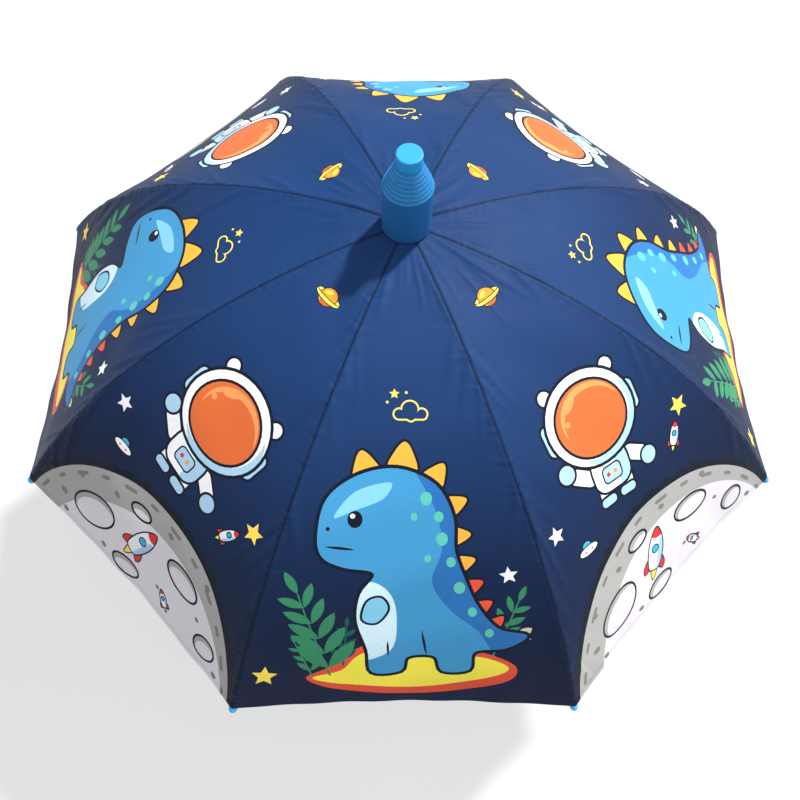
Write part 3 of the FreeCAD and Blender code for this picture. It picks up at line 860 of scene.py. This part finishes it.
def strap_places(y, across, lift, around):
    """Points of the strap on the open rear gore, and wound round the rolled canopy."""
    rest = open_place(STRAP_GORE, y, STRAP_LEVEL + across, lift)
    overlap = STRAP_START + 40
    r = around + lift + STRAP_THICK * smooth((y - overlap) / 30)
    wound = np.stack([r * np.cos(y / around), r * np.sin(y / around), STRAP_TIED - across], axis=1)
    return turned_to(rest, STRAP_GORE), turned_to(wound, STRAP_GORE)


def strap(bundle):
    """The closing strap: flat on the rear gore, or round the rolled canopy."""
    columns = np.linspace(STRAP_START, STRAP_END, 106)
    rows = np.linspace(-STRAP_WIDTH / 2, STRAP_WIDTH / 2, 13)
    y, across = (grid.ravel() for grid in np.meshgrid(columns, rows, indexing="ij"))
    round_end = np.clip((STRAP_START + STRAP_WIDTH / 2 - y) / (STRAP_WIDTH / 2), 0, 1)
    across = across * np.sqrt(1 - round_end**2 * 0.98)
    puff = 0.25 * smooth((STRAP_WIDTH / 2 - np.abs(across) - 0.3) / 1.5)
    hollow = 0.2 * np.exp(-((np.abs(across) - STRAP_STITCH) / 0.8) ** 2)
    height = np.abs(bundle[:, 2] / MM - STRAP_TIED) < 10
    around = float(np.hypot(bundle[height, 0], bundle[height, 1]).max()) / MM + 0.6
    top = STRAP_LIFT + STRAP_THICK + puff - hollow
    layers = [strap_places(y, across, lift, around) for lift in (top, np.full_like(y, STRAP_LIFT))]
    rest, folded = (np.concatenate(places) for places in zip(*layers))
    faces = strip_faces(len(columns), len(rows))
    piece = mesh_object("strap_band", rest, faces, folded)
    dress(piece, strap_material(), "root")
    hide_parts("closing_strap")
    strap_stitching(around)


def strap_stitching(around):
    """Stitches along both edges of the strap, and across its sewn end."""
    along = np.arange(STRAP_START + 8, STRAP_END - 2, STITCH_PITCH)
    down = np.arange(-STRAP_STITCH + STITCH_PITCH / 2, STRAP_STITCH, STITCH_PITCH)
    stitches = [(y, side, (1, 0)) for side in (-STRAP_STITCH, STRAP_STITCH) for y in along]
    stitches += [(y, side, (0, 1)) for y in (STRAP_END - 3, STRAP_END - 15) for side in down]
    (y, across, lift), faces = stitch_mesh(stitches)
    rest, folded = strap_places(y, across, STRAP_LIFT + STRAP_THICK + lift, around)
    piece = mesh_object("strap_stitches", rest, faces, folded)
    dress(piece, thread_material(), "root")


def strip_faces(long, wide):
    """Faces of a thin closed strip, from its points in rows across it."""
    quads = []
    for i in range(long - 1):
        for j in range(wide - 1):
            a, b = i * wide + j, (i + 1) * wide + j
            quads.append([a, a + 1, b + 1, b])
    return doubled(quads, long * wide)


def thread_ties():
    """Loops of thread that tie the cloth to the ribs at four places along each."""
    spacing = 0.0011
    for part, angles in (("inner", (0.2,)), ("outer", (0.56, 0.74, 0.9))):
        points, faces = [], []
        for angle in angles:
            for turn in (-1, 0, 1):
                add_loop(points, faces, angle + turn * spacing)
        for rib in range(1, GORES + 1):
            rest = turned_to_seam(np.array(points), rib)
            piece = mesh_object(f"rib_{rib}_{part}_ties", rest, faces)
            dress(piece, thread_material(), f"rib_{rib}_{part}")


def add_loop(points, faces, angle):
    """One turn of thread round a rib at an angle on the dome."""
    radius, thread, around, across = 1.85, 0.24, 20, 6
    middle = DOME - 3.0
    base = len(points)
    for i in range(around):
        a = math.tau * i / around
        for j in range(across):
            b = math.tau * j / across
            out = radius + thread * math.cos(b)
            lift, side, along = out * math.cos(a), out * math.sin(a), thread * math.sin(b)
            r = middle + lift
            points.append((r * math.sin(angle) + along * math.cos(angle), side,
                           DOME_Z + r * math.cos(angle) - along * math.sin(angle)))
            i2, j2 = (i + 1) % around, (j + 1) % across
            faces.append((base + i * across + j, base + i2 * across + j,
                          base + i2 * across + j2, base + i * across + j2))


# ---------------- materials


def set_inputs(node, **values):
    """Set inputs by name. An underscore stands for a space."""
    for name, value in values.items():
        node.inputs[name.replace("_", " ")].default_value = value


def feed(tree, value, socket):
    """Link a node's output to an input, or give the input a plain value."""
    if hasattr(value, "is_output"):
        tree.links.new(value, socket)
    else:
        socket.default_value = value


def new_material(name, **values):
    """A node material, its nodes and its main shader."""
    material = bpy.data.materials.new(name)
    material.use_nodes = True
    shader = material.node_tree.nodes["Principled BSDF"]
    set_inputs(shader, **values)
    return material, material.node_tree, shader


def add_node(tree, kind, **values):
    """A node with its inputs set by name."""
    node = tree.nodes.new(kind)
    set_inputs(node, **values)
    return node


def noise_of(tree, scale, detail=3.0):
    """Noise over the piece, with its scale in features for each metre."""
    place = tree.nodes.new("ShaderNodeTexCoord")
    noise = add_node(tree, "ShaderNodeTexNoise", Scale=scale, Detail=detail)
    tree.links.new(place.outputs["Object"], noise.inputs["Vector"])
    return noise.outputs["Fac"]


def ranged(tree, value, low, high, start=0.0, end=1.0):
    """A value between start and end moved to the range from low to high."""
    node = add_node(tree, "ShaderNodeMapRange", From_Min=start, From_Max=end, To_Min=low, To_Max=high)
    tree.links.new(value, node.inputs["Value"])
    return node.outputs["Result"]


def mixed(tree, amount, first, second):
    """Two colours mixed by an amount. Each may be a value or a node's output."""
    node = tree.nodes.new("ShaderNodeMix")
    node.data_type = "RGBA"
    for value, socket in ((amount, "Factor"), (first, 6), (second, 7)):
        feed(tree, value, node.inputs[socket])
    return node.outputs[2]


def calculated(tree, operation, *values):
    """The result of a sum on values or other nodes' outputs."""
    node = tree.nodes.new("ShaderNodeMath")
    node.operation = operation
    for value, socket in zip(values, node.inputs):
        feed(tree, value, socket)
    return node.outputs[0]


def mottled(tree, colour, shade, amount, scale, detail=3.0):
    """A colour with patches of a darker shade of it."""
    darker = tuple(c * shade for c in colour[:3]) + (1,)
    return mixed(tree, ranged(tree, noise_of(tree, scale, detail), 0.0, amount), colour, darker)


def worn_edges(tree, colour, worn, start, end, amount):
    """A colour with another on the sharp edges."""
    geometry = tree.nodes.new("ShaderNodeNewGeometry")
    edge = ranged(tree, geometry.outputs["Pointiness"], 0.0, amount, start, end)
    return mixed(tree, edge, colour, worn)


def uneven_gloss(tree, shader, scale, low, high):
    """Vary the shader's roughness between two values."""
    feed(tree, ranged(tree, noise_of(tree, scale), low, high), shader.inputs["Roughness"])


def bumped(tree, shader, height, distance, strength):
    """Roughen the shader's surface by a height."""
    bump = add_node(tree, "ShaderNodeBump", Distance=distance, Strength=strength)
    tree.links.new(height, bump.inputs["Height"])
    tree.links.new(bump.outputs["Normal"], shader.inputs["Normal"])


def weave_height(tree, pitch):
    """Threads over and under each other, from the flat layout of the cloth."""
    place = tree.nodes.new("ShaderNodeUVMap")
    place.uv_map = "weave"
    parts = tree.nodes.new("ShaderNodeSeparateXYZ")
    tree.links.new(place.outputs["UV"], parts.inputs["Vector"])
    waves = [calculated(tree, "SINE", calculated(tree, "MULTIPLY", parts.outputs[axis], math.pi / pitch))
             for axis in ("X", "Y")]
    return calculated(tree, "MULTIPLY", *waves)


def fabric_material():
    """Printed polyester: the ink of each shape, a fine weave and a soft sheen."""
    material, tree, shader = new_material(
        "canopy_fabric", Sheen_Weight=0.05, Sheen_Roughness=0.4, Sheen_Tint=(0.6, 0.75, 1.0, 1),
        Specular_IOR_Level=0.09)
    ink = tree.nodes.new("ShaderNodeVertexColor")
    ink.layer_name = "ink"
    uneven = ranged(tree, noise_of(tree, 14.0, 4.0), 0.0, 0.05)
    colour = mixed(tree, uneven, ink.outputs["Color"], (0.06, 0.12, 0.25, 1))
    fine = ranged(tree, noise_of(tree, 900.0, 2.0), 0.0, 0.3)
    colour = mixed(tree, fine, colour, (0.01, 0.02, 0.05, 1))
    tree.links.new(colour, shader.inputs["Base Color"])
    uneven_gloss(tree, shader, 40.0, 0.5, 0.64)
    bumped(tree, shader, weave_height(tree, 0.00045), 0.00004, 0.6)
    return material


def plain_cloth(name, colour, roughness):
    """Cloth or thread in one colour, with uneven dye. It is made once for each name."""
    if name in bpy.data.materials:
        return bpy.data.materials[name]
    material, tree, shader = new_material(name, Roughness=roughness, Sheen_Weight=0.06,
                                          Specular_IOR_Level=0.2)
    tree.links.new(mottled(tree, colour, 0.55, 0.4, 300.0), shader.inputs["Base Color"])
    bumped(tree, shader, noise_of(tree, 2500.0, 2.0), 0.0001, 0.5)
    return material


def thread_material():
    """Sewing thread, a little lighter than the cloth."""
    return plain_cloth("sewing_thread", (0.035, 0.065, 0.19, 1), 0.7)


def tape_material():
    """The dark binding under a seam."""
    return plain_cloth("seam_binding", (*linear(COLOURS["navy_hem"]), 1), 0.7)


def strap_material():
    """The strap's doubled navy cloth."""
    return plain_cloth("strap_cloth", (*linear(COLOURS["strap"]), 1), 0.66)


def plastic(name, colour, roughness, glow=0.0, upward_painted_light=None):
    """Moulded plastic: uneven gloss, flow marks and paler colour on worn edges. A colour for upward
    faces, if given, is painted light there.
    """
    material, tree, shader = new_material(
        name, Specular_IOR_Level=0.3, Subsurface_Weight=glow, Subsurface_Radius=(0.3, 0.6, 1.0),
        Subsurface_Scale=0.003)
    base = mottled(tree, colour, 0.8, 0.2, 60.0, 4.0)
    if upward_painted_light:
        # Painted light: faces that point upwards are mixed towards the lighter colour, as if lit from
        # above.
        geometry = tree.nodes.new("ShaderNodeNewGeometry")
        facing = tree.nodes.new("ShaderNodeSeparateXYZ")
        tree.links.new(geometry.outputs["Normal"], facing.inputs["Vector"])
        base = mixed(tree, ranged(tree, facing.outputs["Z"], 0.0, 1.0, 0.1, 0.4), base, upward_painted_light)
    paler = tuple(min(1.0, c * 1.25 + 0.05) for c in colour[:3]) + (1,)
    tree.links.new(worn_edges(tree, base, paler, 0.5, 0.62, 0.35), shader.inputs["Base Color"])
    uneven_gloss(tree, shader, 120.0, roughness - 0.07, roughness + 0.1)
    bumped(tree, shader, noise_of(tree, 400.0), 0.00006, 0.4)
    return material


def metal(name, colour, roughness):
    """Metal with a drawn grain and uneven polish."""
    material, tree, shader = new_material(name, Metallic=1.0)
    tree.links.new(mottled(tree, colour, 0.7, 0.35, 90.0, 5.0), shader.inputs["Base Color"])
    uneven_gloss(tree, shader, 700.0, roughness, roughness + 0.1)
    bumped(tree, shader, noise_of(tree, 1500.0), 0.00003, 0.5)
    return material


def enamel(name, colour):
    """Black enamel over steel."""
    material, tree, shader = new_material(name, Coat_Weight=0.3)
    worn = worn_edges(tree, colour, (0.18, 0.18, 0.19, 1), 0.54, 0.7, 0.4)
    tree.links.new(worn, shader.inputs["Base Color"])
    uneven_gloss(tree, shader, 500.0, 0.24, 0.42)
    bumped(tree, shader, noise_of(tree, 900.0), 0.00004, 0.4)
    return material


def coat(piece, material):
    """Give a piece one material."""
    piece.data.materials.clear()
    piece.data.materials.append(material)


def dress(piece, material, body):
    """Give a new piece its material and the body that it rides on."""
    coat(piece, material)
    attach(piece, body)


def dress_frame():
    """Give every carried-over part the material of its slot."""
    made = {
        "shaft_steel": metal("shaft_steel", (0.72, 0.73, 0.75, 1), 0.16),
        "rib_steel": enamel("rib_steel", (0.02, 0.02, 0.024, 1)),
        "wire_steel": metal("wire_steel", (0.6, 0.6, 0.62, 1), 0.3),
        "spring_steel": metal("spring_steel", (0.5, 0.5, 0.52, 1), 0.26),
        "hub_nylon": plastic("hub_nylon", (0.02, 0.2, 0.52, 1), 0.45),
        "blue_plastic": plastic("blue_plastic", (0.045, 0.42, 0.8, 1), 0.3, 0.08),
        "handle_trim": plastic("handle_trim", (0.86, 0.86, 0.84, 1), 0.28),
        # Painted shade and light: the sleeve rings are darker than the cap on their sides and take about
        # the cap's colour on upward faces.
        "sleeve_plastic": plastic("sleeve_plastic", (0.002, 0.1, 0.3, 1), 0.34, 0.03,
                                  (0.02, 0.28, 0.64, 1)),
        "drip_cap": plastic("cap_plastic", (0.015, 0.28, 0.64, 1), 0.34, 0.06),
    }
    for part in frame["record"]["subparts"]:
        slot = part["material_slot"]
        material = made.get(part["node"], made.get(slot))
        if material:
            coat(frame["nodes"][part["node"]], material)


# ---------------- room, light and camera


def floor():
    """A wide round pale floor that the hook rests on. Seen from below it is clear."""
    mesh = bpy.data.meshes.new("floor")
    rim = [(x, y, 0) for x, y in ellipse(0, 0, FLOOR_RADIUS, count=96)]
    mesh.from_pydata(rim, [], [tuple(range(len(rim)))])
    material, tree, shader = new_material("floor", Roughness=0.8, Emission_Color=(1, 1, 1, 1),
                                          Emission_Strength=0.6)
    grey = mixed(tree, noise_of(tree, 3.0), (0.2, 0.2, 0.2, 1), (0.22, 0.22, 0.22, 1))
    tree.links.new(grey, shader.inputs["Base Color"])
    clear = tree.nodes.new("ShaderNodeBsdfTransparent")
    choice = tree.nodes.new("ShaderNodeMixShader")
    geometry = tree.nodes.new("ShaderNodeNewGeometry")
    tree.links.new(geometry.outputs["Backfacing"], choice.inputs["Fac"])
    tree.links.new(shader.outputs["BSDF"], choice.inputs[1])
    tree.links.new(clear.outputs["BSDF"], choice.inputs[2])
    tree.links.new(choice.outputs["Shader"], tree.nodes["Material Output"].inputs["Surface"])
    mesh.materials.append(material)
    add_object("floor", mesh)


def direction(azimuth, elevation):
    """A unit vector by its azimuth from +X and its elevation, in degrees."""
    a, e = math.radians(azimuth), math.radians(elevation)
    return Vector((math.cos(a) * math.cos(e), math.sin(a) * math.cos(e), math.sin(e)))


def aimed_light(name, kind, azimuth, elevation, power, colour):
    """A light that is aimed at the canopy from some way off."""
    target, distance = Vector((0, 0, 0.5)), 3.0
    light = bpy.data.lights.new(name, kind)
    light.energy = power
    light.color = colour
    holder = add_object(name, light)
    back = direction(azimuth, elevation)
    holder.location = target + back * distance
    holder.rotation_mode = "QUATERNION"
    holder.rotation_quaternion = (-back).to_track_quat("-Z", "Y")
    return light


def light_room():
    """A soft key light from the back right, three wide fills and a pale sky."""
    key = aimed_light("key", "SUN", 49, 51, 5.7, (1.0, 0.98, 0.95))
    key.angle = math.radians(3.8)
    fills = (("fill_front", -90, 73, 32), ("fill_left", 175, 40, 15), ("fill_right", 0, 35, 30))
    for name, azimuth, elevation, power in fills:
        aimed_light(name, "AREA", azimuth, elevation, power, (0.95, 0.97, 1.0)).size = 2.0
    world = bpy.data.worlds.new("sky")
    world.use_nodes = True
    tree = world.node_tree
    sky = tree.nodes["Background"]
    set_inputs(sky, Color=(0.95, 0.97, 1.0, 1))
    path = tree.nodes.new("ShaderNodeLightPath")
    backdrop = ranged(tree, path.outputs["Is Camera Ray"], 0.34, 0.94)
    tree.links.new(backdrop, sky.inputs["Strength"])
    bpy.context.scene.world = world
    bpy.context.scene.view_settings.view_transform = "Standard"


def camera():
    """A camera above the front edge, at the photo's angle."""
    azimuth, elevation, roll = -93.108, 64.588, math.radians(-2.915)
    distance, aside, below = 0.9397, 0.0023, 0.0627
    back, right = direction(azimuth, elevation), direction(azimuth + 90, 0)
    up = back.cross(right)
    eye = Vector((0, 0, HEM_Z * MM)) + back * distance + right * aside - up * below
    across = right * math.cos(roll) - up * math.sin(roll)
    above = right * math.sin(roll) + up * math.cos(roll)
    view = bpy.data.cameras.new("camera")
    view.lens = 37.7
    view.clip_start = 0.05
    holder = add_object("camera", view)
    turn = Matrix((across, above, back)).transposed()
    holder.matrix_world = Matrix.Translation(eye) @ turn.to_4x4()
    bpy.context.scene.camera = holder


rolled = canopy()
strap(rolled)
for number in range(1, GORES + 1):
    seam_tape(number)
thread_ties()
dress_frame()
floor()
light_room()
camera()
